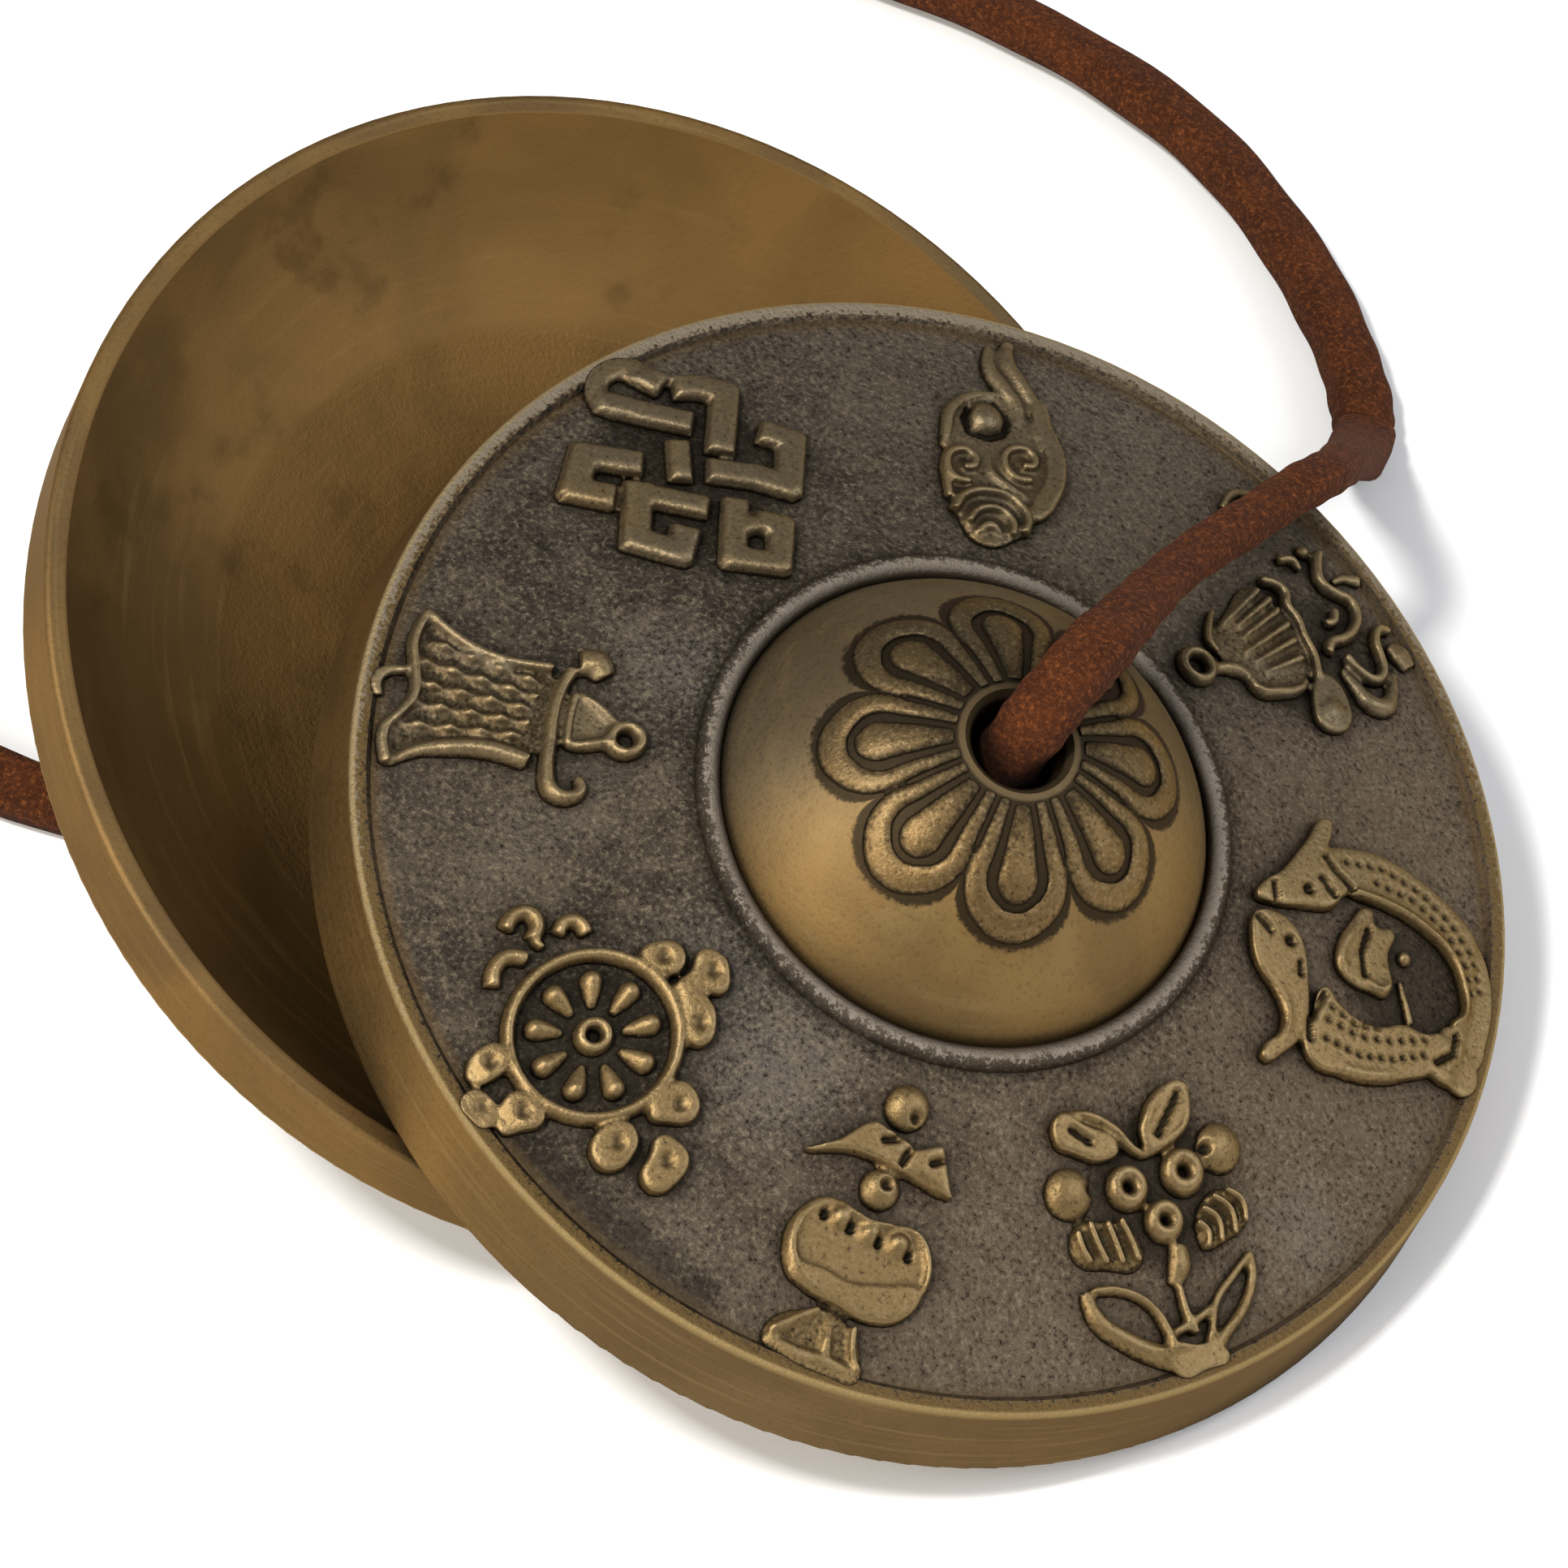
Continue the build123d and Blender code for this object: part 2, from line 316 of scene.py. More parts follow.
def bell_metal(name, lip, turn, ornament_turn):
    """Sand-cast bell metal, turned and buffed on the boss, wall and hollow.

    The plate keeps the grain of the mould and a dark patina; the turned faces are satin and golden; grime
    and painted shade darken both where other surfaces close in over them.
    """
    material, tree, surface = new_material(name)
    place, axes, radius, along_slant = cast_coordinates(tree, lip, turn)
    hollow = hollow_mask(tree, axes, radius)
    marks = turned_marks(tree, axes, radius)

    # Grain of the mould about 0.2 mm across, patches of patina about 6 mm, flecks of bright metal
    grain = add(tree, "TexNoise", {"Vector": place, "Scale": 3.2, "Detail": 5.0, "Roughness": 0.7})
    patches = add(tree, "TexNoise", {"Vector": place, "Scale": 0.15, "Detail": 4.0, "Roughness": 0.6})
    flecks = add(tree, "TexVoronoi", {"Vector": place, "Scale": 2.2}, feature="F1")
    mottle = add(tree, "TexNoise", {"Vector": place, "Scale": 0.7, "Detail": 4.0, "Roughness": 0.65})
    smudges = add(tree, "TexNoise", {"Vector": place, "Scale": 0.09, "Detail": 3.0, "Distortion": 0.6})
    wander = {"Value": grain, "From Min": 0.3, "From Max": 0.7, "To Min": -0.5, "To Max": 0.5}
    wander = add(tree, "MapRange", wander)
    rough_radius = add(tree, "Math", {0: radius, 1: wander}, operation="ADD")
    petal_ragged = 0.3
    petal_edge = add(tree, "Math", {0: wander, 1: petal_ragged, 2: radius}, operation="MULTIPLY_ADD")
    petal_edge = past_petals(tree, axes, petal_edge, ornament_turn)

    # The rim on the side away from TONE_SLANT, and patches on the plate with ragged edges
    rim_slant = -0.02
    worn_ragged = -6.0
    far_rim = add(tree, "Math", {0: along_slant, 1: rim_slant, 2: rough_radius}, operation="MULTIPLY_ADD")
    patina = beyond_spots(tree, axes, PATINA_SPOTS)
    patina = add(tree, "Math", {0: patina, 1: wander}, operation="ADD")
    worn = beyond_spots(tree, axes, WORN_SPOTS)
    worn = add(tree, "Math", {0: wander, 1: worn_ragged, 2: worn}, operation="MULTIPLY_ADD")

    # Which faces are as cast: the plate and its rim, but not the wall, the dome or the hollow
    rim_level = {"From Min": 6.35, "From Max": 6.75}
    dome_edge = {"From Min": 14.6, "From Max": 15.0}
    on_top = add(tree, "MapRange", {"Value": axes["Z"], **rim_level})
    outside = add(tree, "MapRange", {"Value": radius, **dome_edge})
    as_cast = add(tree, "Math", {0: on_top, 1: outside}, operation="MULTIPLY")

    plate = layered(tree, "#352f29", [
        (patches, 0.35, 0.65, 1.0, "#4c443a"),
        (smudges, 0.55, 0.7, 0.35, "#655d51"),
        (axes["Y"], 4.0, 28.0, 0.5, "#655b4f"),
        (axes["X"], -4.0, 26.0, 0.75, "#665747"),
        (worn, 3.0, -3.0, 0.4, "#6f6a62"),
        (mottle, 0.45, 0.7, 0.35, "#6b604f"),
        (mottle, 0.45, 0.3, 0.35, "#2a241d"),
        (grain, 0.5, 0.7, 0.7, "#867a64"),
        (grain, 0.48, 0.32, 0.9, "#16130f"),
        (flecks, 0.18, 0.06, 0.2, "#9a9080"),
        (patina, 0.9, -0.9, 0.62, "#1b1814"),
        (rough_radius, 33.9, 34.3, 0.85, "#66512f"),
        (far_rim, 34.6, 35.0, 0.8, "#857b6a"),
        # A thin light line along the rim's edge: worn metal with a painted highlight
        (radius, 34.7, 34.85, 0.6, "#a08a5e"),
        # A darker band round the boss's foot: painted shade with grime
        (rough_radius, 17.4, 16.0, 0.55, "#1b1814"),
        (rough_radius, 15.85, 15.4, 0.8, "#93887a"),
    ])
    dome = layered(tree, "#6a5d48", [
        (along_slant, -4.0, 7.0, 1.0, "#7d643d"),
        (radius, 16.0, 33.0, 0.9, "#745932"),
        (along_slant, 14.0, 32.0, 0.6, "#564c3c"),
        (smudges, 0.35, 0.65, 0.5, "#4e3f2a"),
        (marks, 0.5, 0.75, 0.35, "#86704a"),
        (grain, 0.5, 0.32, 0.35, "#3a2f20"),
        (petal_edge, PETAL_NOTCH + 0.4, PETAL_NOTCH + 0.1, 0.9, "#1f1a13"),
        (radius, 3.75, 3.5, 1.0, "#5d4e36"),
        (radius, 2.95, 2.8, 0.9, "#171310"),
    ])
    inside = layered(tree, "#523c1d", [
        (smudges, 0.35, 0.65, 1.0, "#664b26"),
        # Painted light and shade across the hollow: lighter towards the casting's -y, darker towards its +y
        (axes["Y"], 6.0, -24.0, 0.35, "#75582f"),
        (axes["Y"], 4.0, 30.0, 0.8, "#33240f"),
        (marks, 0.5, 0.8, 0.25, "#7c6036"),
        (patches, 0.55, 0.7, 0.5, "#38280f"),
    ])
    colour = add(tree, "Mix", {0: as_cast, 6: dome, 7: plate}, output=2, data_type="RGBA")
    colour = add(tree, "Mix", {0: hollow, 6: colour, 7: inside}, output=2, data_type="RGBA")
    # Painted shade with grime: darker where the thong, the ornament and the other casting close in over the
    # surface, more on the plate
    dirt_and_shade = add(tree, "MapRange", {"Value": as_cast, "To Min": 0.7, "To Max": 0.85})
    colour = grime_and_painted_shade(tree, colour, distance=3.4, closed=0.35, clear=1.0, dirt_and_shade=dirt_and_shade)

    metal = add(tree, "MapRange", {"Value": hollow, "To Min": 0.8, "To Max": 0.35})
    rough = add(tree, "MapRange", {"Value": grain, "To Min": 0.4, "To Max": 0.68})
    strength = add(tree, "MapRange", {"Value": as_cast, "To Min": 0.2, "To Max": 0.9})
    bump = add(tree, "Bump", {"Strength": strength, "Distance": 0.18 * MM, "Height": grain})
    fill(tree, surface, {"Base Color": colour, "Metallic": metal, "Roughness": rough, "Normal": bump})
    fill(tree, surface, {"Specular Tint": linear(SHINE)})
    return material


def ornament_metal(name, lip, turn, crest, foot, base, rubbed):
    """The same cast bell metal where the ornament stands up to crest millimetres.

    Its ridges are rubbed bright and carry a painted highlight; patina and painted shade darken its grooves
    and the ornament up to the share foot of its crest.
    """
    material, tree, surface = new_material(name)
    place, _, _, along_slant = cast_coordinates(tree, lip, turn)
    height = add(tree, "Attribute", output="Fac", attribute_name="relief")
    ridge = add(tree, "Attribute", output="Fac", attribute_name="ridge")
    grain = add(tree, "TexNoise", {"Vector": place, "Scale": 3.6, "Detail": 4.0, "Roughness": 0.65})
    patches = add(tree, "TexNoise", {"Vector": place, "Scale": 0.2, "Detail": 3.0})
    ragged = 0.15 * crest
    wander = {"Value": grain, "From Min": 0.3, "From Max": 0.7, "To Min": -ragged, "To Max": ragged}
    wander = add(tree, "MapRange", wander)
    worn = add(tree, "Math", {0: height, 1: wander}, operation="ADD")
    colour = layered(tree, base, [
        (patches, 0.4, 0.7, 0.5, rubbed),
        (along_slant, -8.0, 9.0, 0.9, rubbed),
        (grain, 0.52, 0.74, 0.6, "#8c7a5b"),
        (grain, 0.46, 0.3, 0.75, "#2f281e"),
        # Painted highlight with rubbed wear on the ridges; patina and painted shade in the grooves and at
        # the foot
        (ridge, 0.04 * crest, 0.3 * crest, 0.75, "#97835f"),
        (ridge, -0.03 * crest, -0.25 * crest, 0.9, FOOT_PATINA_AND_SHADE),
        (worn, foot * crest, 0.24 * foot * crest, 0.9, FOOT_PATINA_AND_SHADE),
    ])
    # Grime and painted shade in the ornament's recesses
    colour = grime_and_painted_shade(tree, colour, distance=0.9, closed=0.3, clear=0.9, dirt_and_shade=0.9)
    rough = {"Value": worn, "From Min": 0.2 * crest, "From Max": 0.9 * crest, "To Min": 0.6, "To Max": 0.4}
    rough = add(tree, "MapRange", rough)
    bump = add(tree, "Bump", {"Strength": 0.55, "Distance": 0.09 * MM, "Height": grain})
    fill(tree, surface, {"Base Color": colour, "Metallic": 0.85, "Roughness": rough, "Normal": bump})
    fill(tree, surface, {"Specular Tint": linear(SHINE)})
    return material


def suede():
    """Brushed suede thong: short brown nap that scatters light, with rubbed lighter streaks and painted
    shade where it lies close to other surfaces.
    """
    material, tree, surface = new_material("brushed_suede")
    place = add(tree, "TexCoord", output="Object")
    nap = add(tree, "TexNoise", {"Vector": place, "Scale": 2800.0, "Detail": 6.0, "Roughness": 0.9})
    rubbed = add(tree, "TexNoise", {"Vector": place, "Scale": 420.0, "Detail": 3.0, "Roughness": 0.6})
    shade = add(tree, "AmbientOcclusion", {"Distance": 5 * MM}, output="AO", samples=4)
    colour = layered(tree, "#402111", [
        (rubbed, 0.4, 0.7, 1.0, "#4d2813"),
        (nap, 0.48, 0.72, 0.9, "#9d5a2c"),
        (nap, 0.46, 0.3, 0.85, "#1e1009"),
        # Painted shade: darker where other surfaces come close to the thong
        (shade, 0.7, 0.25, 0.8, "#150c08"),
    ])
    bump = add(tree, "Bump", {"Strength": 0.8, "Distance": 0.25 * MM, "Height": nap})
    fill(tree, surface, {"Base Color": colour, "Roughness": 0.95, "Specular IOR Level": 0.1, "Normal": bump})
    return material


# Each casting's place in the row frame
UPPER_PLACE = Matrix.Translation(UPPER_LIP) @ Euler(UPPER_TURN).to_matrix().to_4x4()
LOWER_PLACE = Matrix.Translation(LOWER_LIP) @ Euler(LOWER_TURN).to_matrix().to_4x4()

# The thong's route over the upper plate, in that casting's own millimetres
ARCH_ROUTE = [
    (0, 0, 17.6), (0, 0.3, 20.6), (-0.1, 1.7, 22.9), (-0.2, 5.5, 23.2), (-0.1, 10.7, 20.8),
    (-0.1, 16.0, 17.8), (0.2, 20.8, 15.2), (1.2, 26.6, 12.8), (2.1, 32.2, 11.0), (2.9, 35.4, 9.8),
]

# Past the rim and down to the floor, in millimetres of the row frame
DROP_ROUTE = [(13.5, 40.6, 17.0), (10.3, 46.6, 9.5), (8.3, 50.6, 5.1), (6.9, 53.4, 2.6)]

# Along the floor and round the loop: x and y, all at one height
FLOOR_RUN = 2.0
LOOP_ROUTE = [
    (6.4, 54.4), (4.8, 56.6), (1.0, 60.3), (-6.0, 65.4), (-16.8, 70.7), (-30.4, 72.6), (-45.0, 71.5),
    (-60.0, 68.0), (-75.0, 62.0), (-89.0, 53.0), (-99.0, 40.5), (-103.0, 25.0), (-99.0, 9.5), (-88.5, -3.0),
    (-74.5, -11.5), (-60.0, -16.0), (-46.6, -16.7), (-34.0, -12.5), (-26.0, -6.2), (-21.45, 0),
]

# Up into the lower crown, in the lower casting's own millimetres
LOWER_END = (0, 0, 17.6)


def smooth_line(points):
    """Points close together along one smooth curve through the route."""
    data = bpy.data.curves.new("route", "CURVE")
    data.dimensions = "3D"
    data.resolution_u = 10
    spline = data.splines.new("NURBS")
    spline.points.add(len(points) - 1)
    for point, place in zip(spline.points, points):
        point.co = (*place, 1)
    spline.order_u = 3
    spline.use_endpoint_u = True
    holder = put("route", data)
    mesh = bpy.data.meshes.new_from_object(holder)
    line = [vertex.co.copy() for vertex in mesh.vertices]
    bpy.data.objects.remove(holder)
    bpy.data.meshes.remove(mesh)
    return line


def squared(wave):
    """A sine or cosine pushed outwards, which squares the section's corners."""
    return math.copysign(abs(wave) ** THONG_CORNER, wave)


def thong_tube(name, line, side, sizes, finish):
    """A soft-cornered strip of the thong's section times each size, carried along a line untwisted."""
    corners = 20
    section = []
    for step in range(corners):
        angle = 2 * math.pi * step / corners
        across = squared(math.cos(angle)) * THONG_WIDTH / 2
        through = squared(math.sin(angle)) * THONG_THICKNESS / 2
        section.append((across * MM, through * MM))
    vertices = []
    side = Vector(side)
    for index, (place, size) in enumerate(zip(line, sizes)):
        before = line[max(index - 1, 0)]
        after = line[min(index + 1, len(line) - 1)]
        along = (after - before).normalized()
        side = (side - along * side.dot(along)).normalized()
        over = along.cross(side)
        vertices += [place + (side * across + over * through) * size for across, through in section]
    faces = []
    for ring in range(len(line) - 1):
        for step in range(corners):
            first = ring * corners + step
            second = ring * corners + (step + 1) % corners
            faces.append((first, second, second + corners, first + corners))
    faces.append(tuple(range(corners - 1, -1, -1)))
    last = (len(line) - 1) * corners
    faces.append(tuple(range(last, last + corners)))
    mesh = bpy.data.meshes.new(name)
    mesh.from_pydata(vertices, [], faces)
    mesh.materials.append(finish)
    mesh.polygons.foreach_set("use_smooth", [True] * (len(faces) - 2) + [False, False])
    return put(name, mesh)


def make_thong(finish):
    """The whole thong from the lower crown to the upper one, the line it follows and its length."""
    arch = [UPPER_PLACE @ (Vector(point) * MM) for point in ARCH_ROUTE]
    loop = [(x, y, FLOOR_RUN) for x, y in LOOP_ROUTE]
    floor = [Vector(point) * MM for point in DROP_ROUTE + loop]
    end = LOWER_PLACE @ (Vector(LOWER_END) * MM)
    line = smooth_line(arch + floor + [end])
    line.reverse()
    sizes = []
    crown = line[-1]
    for index, place in enumerate(line):
        slim = np.interp((place - crown).length / MM, SLIM_REACH, (1, SLIM, SLIM, 1))
        sizes.append(slim * (1 + sum(share * math.sin(pace * index) for share, pace in WOBBLES)))
    side_at_start = (-0.8, 0.6, 0)
    thong = thong_tube("thong", line, side_at_start, sizes, finish)
    length = sum((b - a).length for a, b in zip(line, line[1:]))
    return thong, line, length


# Ornament in millimetres: heights, size of the melting grid, depth under the surface, and what a pit leaves
SYMBOL_CREST = 0.9
PETAL_CREST = 0.36
SYMBOL_VOXEL = 0.165
PETAL_VOXEL = 0.11
SUNK = 0.12
LEAST_UNDER_PIT = 0.05
RIDGE_ROUNDS = 24

# The radii between which ornament sinks into the rim, and the share of its height that is left there
RIM_FADE = (32.6, 34.4)
RIM_SHARE = 0.15

# It is drawn in tenths of a millimetre on the plan of the plate: x is downhill on the upper casting
DRAWN = 0.1
SLAB_EDGE = 2.2

# A bar's square corners, and its tiers: how much wider than the bar, and their share of its height
BAR_CORNER = 5
BAR_TIERS = ((3.5, 0.4), (1, 0.75), (-3.5, 1.0))

drawing = bpy.data.collections.new("drawing")
bpy.context.scene.collection.children.link(drawing)


def bezier(name, points, radii, closed, **settings):
    """A rounded curve through points, with a radius at each."""
    data = bpy.data.curves.new(name, "CURVE")
    data.resolution_u = 5
    for key, value in settings.items():
        setattr(data, key, value)
    spline = data.splines.new("BEZIER")
    spline.bezier_points.add(len(points) - 1)
    for point, place, radius in zip(spline.bezier_points, points, radii):
        point.co = (*place, 0)
        point.handle_left_type = "AUTO"
        point.handle_right_type = "AUTO"
        point.radius = radius
    spline.use_cyclic_u = closed
    shape = bpy.data.objects.new(name, data)
    drawing.objects.link(shape)
    return shape


def slab(points, height, sharp=False):
    """A flat-topped patch with a rounded edge, and with a rounded outline unless it is sharp."""
    shape = bezier("slab", points, [1] * len(points), True, dimensions="2D", fill_mode="BOTH",
                   offset=-SLAB_EDGE, extrude=height - SLAB_EDGE, bevel_depth=SLAB_EDGE, bevel_resolution=2)
    if sharp:
        for point in shape.data.splines[0].bezier_points:
            point.handle_left_type = "VECTOR"
            point.handle_right_type = "VECTOR"


def line(points, widths, height):
    """A round-backed ridge, as wide at each point as widths says."""
    if isinstance(widths, (int, float)):
        widths = [widths] * len(points)
    shape = bezier("line", points, [width / 2 for width in widths], False, dimensions="3D", fill_mode="FULL",
                   bevel_depth=1, bevel_resolution=3, use_fill_caps=True)
    shape.scale.z = 2 * height / max(widths)


def knob(middle, radius, height):
    """A round button."""
    bpy.ops.mesh.primitive_uv_sphere_add(segments=20, ring_count=12, radius=radius, location=(*middle, 0))
    bpy.context.object.scale.z = height / radius


def ring(middle, radius, width, height):
    """A round ring, radius to the middle of its ridge."""
    bpy.ops.mesh.primitive_torus_add(location=(*middle, 0), major_radius=radius, minor_radius=width / 2,
                                     major_segments=32, minor_segments=12)
    bpy.context.object.scale.z = 2 * height / width


def bar(start, end, width, height):
    """A straight flat-topped bar with sloping sides and square ends that reach a little past its ends."""
    start = Vector(start)
    end = Vector(end)
    middle = (start + end) / 2
    run = end - start
    turn = (0, 0, math.atan2(run.y, run.x))
    for spread, share in BAR_TIERS:
        size = (run.length + width - BAR_CORNER + spread, width + spread, 2 * share * height)
        bpy.ops.mesh.primitive_cube_add(size=1, location=(*middle, 0), rotation=turn, scale=size)


def along(points, share):
    """The point at a share of the way along a run of straight pieces."""
    spans = [math.dist(a, b) for a, b in zip(points, points[1:])]
    left = share * sum(spans)
    for a, b, span in zip(points, points[1:], spans):
        if left <= span:
            break
        left -= span
    return Vector(a).lerp(Vector(b), left / span)


def conch():
    """Conch shell: two whorls and a mouth under a broad back, an eye, and streamers towards the rim."""
    slab([(-132, 252), (-114, 246), (-96, 229), (-84, 206), (-81, 184), (-82, 164), (-94, 145), (-114, 150),
          (-128, 166), (-146, 184), (-159, 204), (-163, 222), (-156, 242), (-146, 253)], 3.8)
    slab([(-129, 266), (-110, 253), (-93, 236), (-81, 215), (-78, 192), (-83, 184), (-90, 195), (-93, 214),
          (-102, 231), (-119, 246)], 8)
    line([(-126, 263), (-109, 251), (-93, 235), (-83, 215), (-80, 194)], (4, 6, 7.5, 7.5, 6), 10.8)
    line([(-166, 293), (-159, 279), (-146, 271), (-129, 263)], (9, 12, 13, 11), 9.5)
    line([(-173, 282), (-163, 266), (-149, 259), (-135, 253), (-127, 242)], (8, 12, 14, 12, 8), 8.5)
    knob((-145, 229), 12.5, 12)
    line([(-149, 252), (-160, 237), (-163, 219), (-157, 204), (-151, 192)], (6, 8.5, 9.5, 8.5, 6), 9.2)
    line([(-134, 185), (-130, 191), (-136, 198), (-145, 192), (-143, 180), (-133, 174), (-125, 179)], 7, 10)
    line([(-109, 214), (-104, 220), (-112, 227), (-121, 219), (-118, 207), (-107, 203), (-99, 209)], 7, 9.8)
    line([(-130, 208), (-120, 196), (-106, 194), (-94, 196)], (5, 7, 8, 6), 8.5)
    line([(-143, 178), (-136, 170), (-128, 160)], 6, 8.5)
    line([(-121, 153), (-122, 168), (-112, 182), (-98, 187), (-85, 181), (-81, 170)], 7.5, 10.5)
    line([(-110, 151), (-110, 164), (-102, 173), (-91, 172), (-85, 163)], 7, 10.5)
    line([(-102, 149), (-99, 159), (-91, 160)], (6, 8.5, 6), 10.5)


def parasol():
    """Parasol: a pleated canopy with a ringed finial, a frilled hem, beads and flying ribbons."""
    slab([(37, 259), (59, 262), (82, 253), (99, 234), (96, 222), (84, 199), (70, 202), (56, 197), (42, 206),
          (36, 230)], 3.5)
    ring((45, 179), 9.5, 8, 10.5)
    line([(53, 188), (62, 198), (72, 203)], (8, 10, 8), 9.5)
    line([(30, 223), (34, 212), (40, 202), (49, 199)], (4, 5, 5.5, 5), 8.5)
    line([(70, 203), (81, 199), (90, 208), (99, 225), (98, 234)], (6, 8, 8, 7, 5), 10.5)
    for top, foot in (((42, 260), (40, 220)), ((51, 261), (47, 226)), ((59, 259), (54, 222)),
                      ((69, 256), (61, 214)), ((78, 250), (69, 214)), ((88, 243), (78, 216))):
        line([top, foot], (7, 4.5), 10)
    line([(39, 268), (47, 274), (56, 274), (60, 268), (72, 264), (80, 258), (92, 252), (102, 242)], 7, 10)
    line([(39, 292), (45, 300), (53, 299)], (6, 7, 5), 8.5)
    knob((47, 312), 5, 8)
    line([(54, 320), (59, 310), (67, 302), (77, 303), (87, 307), (95, 303), (100, 292), (99, 280), (95, 270),
          (98, 262)], 8, 10)
    line([(84, 293), (88, 285), (85, 279)], 7, 8.5)
    line([(116, 313), (111, 306), (115, 296), (123, 290), (130, 282), (129, 273), (118, 269), (106, 270)],
         7.5, 10)
    line([(135, 290), (142, 276), (144, 264), (136, 257), (122, 259), (110, 262)], (6, 10, 14, 14, 10, 6),
         10)
    line([(122, 305), (131, 304), (140, 302)], (12, 17, 12), 9)
    slab([(102, 244), (110, 249), (125, 244), (135, 232), (132, 219), (121, 214), (111, 222), (104, 232)],
         7.5)
    knob((122, 229), 11.5, 11)
    line([(72, 310), (76, 320), (84, 326)], (5, 7, 9), 8.5)
    line([(1, 322), (-7, 310), (-6, 295)], (4, 6, 5), 8)


def fish():
    """Two fish curled round a small leaf, heads towards the boss and tails towards the rim."""
    slab([(161, 164), (168, 157), (173, 145), (196, 137), (195, 127), (191, 118), (180, 102), (166, 88),
          (157, 84), (155, 93), (159, 110), (159, 138)], 9)
    line([(181, 132), (193, 130), (194, 122), (185, 109), (171, 96)], (4, 5, 5, 4, 3), 10.5)
    slab([(172, 144), (182, 161), (200, 175), (225, 184), (250, 187), (275, 184), (290, 175), (305, 158),
          (315, 138), (320, 118), (300, 110), (290, 118), (294, 130), (294, 142), (282, 154), (268, 160),
          (242, 159), (219, 151), (199, 138), (186, 138)], 7.8)
    line([(199, 140), (220, 153), (242, 161), (268, 162), (283, 154), (295, 141), (294, 129)], 6, 10.5)
    slab([(163, 75), (172, 86), (186, 89), (198, 84), (210, 72), (223, 56), (229, 42), (228, 26), (220, 10),
          (216, 18), (218, 30), (214, 40), (202, 47), (183, 51), (170, 61)], 8.8)
    line([(180, 56), (198, 53), (214, 45), (221, 33), (220, 16)], (4, 6, 7, 7, 4), 10.8)
    slab([(221, 76), (234, 76), (248, 78), (262, 88), (270, 100), (284, 108), (292, 117), (302, 114),
          (302, 94), (292, 76), (280, 60), (263, 45), (244, 34), (229, 42), (226, 58)], 8.5)
    line([(242, 39), (263, 49), (282, 67), (295, 88)], (7, 9, 9, 6), 10)
    slab([(299, 122), (313, 121), (325, 114), (325, 99), (316, 96), (302, 92), (296, 102)], 9)
    line([(304, 104), (314, 109), (324, 109)], (6, 9, 7), 10)
    slab([(213, 142), (222, 136), (232, 143), (238, 128), (248, 117), (253, 106), (244, 100), (233, 94),
          (220, 94), (212, 104), (209, 122)], 6.2)
    line([(242, 121), (250, 109), (241, 103), (231, 103)], (5, 7, 6, 4), 9.5)
    line([(216, 137), (214, 117), (219, 100), (230, 98)], (5, 7, 7, 5), 8.5)
    knob((247, 136), 5, 7)
    line([(253, 122), (264, 114), (274, 106)], (4, 5, 6), 6.5)


def lotus():
    """Lotus: leaves that spread from a stem at the rim, with ringed seeds, buds and fluted petals."""
    slab([(194, -39), (202, -42), (211, -56), (211, -68), (206, -84), (194, -81), (188, -70), (186, -53)], 8)
    line([(196, -41), (209, -54), (210, -69), (206, -84)], (5, 6, 6, 5), 9.8)
    line([(193, -42), (188, -56), (192, -72), (204, -85)], (5, 7, 8, 5), 9.8)
    knob((234, -49), 15, 9.5)
    ring((227, -77), 8.5, 11.5, 10)
    ring((209, -109), 8, 11, 10)
    ring((237, -106), 7.5, 10.5, 10)
    line([(154, -109), (166, -98), (182, -92), (202, -89), (206, -84)], (6, 8, 8, 6, 5), 9.5)
    slab([(152, -111), (166, -104), (191, -98), (189, -110), (174, -120), (162, -124)], 8.8)
    knob((186, -137), 15, 9.5)
    slab([(201, -143), (211, -132), (220, -125), (236, -124), (244, -136), (231, -151), (216, -162),
          (203, -156)], 2.5)
    for flute in (
        [(217, -126), (230, -130), (241, -135)],
        [(212, -133), (224, -138), (235, -143)],
        [(205, -141), (216, -146), (228, -150)],
        [(203, -150), (212, -155), (221, -157)],
    ):
        line(flute, 5.8, 9.5)
    slab([(250, -64), (263, -60), (274, -68), (272, -84), (264, -99), (254, -94), (246, -82)], 2.5)
    for flute in (
        [(252, -65), (263, -62), (273, -69)],
        [(248, -74), (261, -71), (273, -79)],
        [(248, -84), (259, -81), (270, -89)],
        [(251, -92), (260, -91), (266, -98)],
    ):
        line(flute, 5.6, 9.5)
    line([(252, -109), (260, -117), (265, -128)], (13, 16, 9), 8.5)
    line([(267, -126), (280, -134), (292, -138)], (5, 6, 6), 8.5)
    line([(283, -146), (287, -132), (289, -120)], (6, 6, 5), 8.5)
    line([(286, -78), (296, -88), (303, -104), (305, -124), (306, -138)], (5, 7, 7.5, 8, 10), 9.8)
    line([(286, -79), (287, -96), (289, -115), (297, -128), (304, -138)], (5, 5.5, 5.5, 6, 8), 9.5)
    line([(232, -166), (244, -154), (262, -147), (279, -150), (288, -154)], (6, 6, 6, 7, 8), 9.5)
    line([(229, -170), (244, -176), (264, -172), (286, -162), (300, -152)], (9, 12, 13, 14, 16), 10.2)
    slab([(286, -156), (296, -143), (305, -133), (315, -133), (310, -148), (300, -164)], 9)


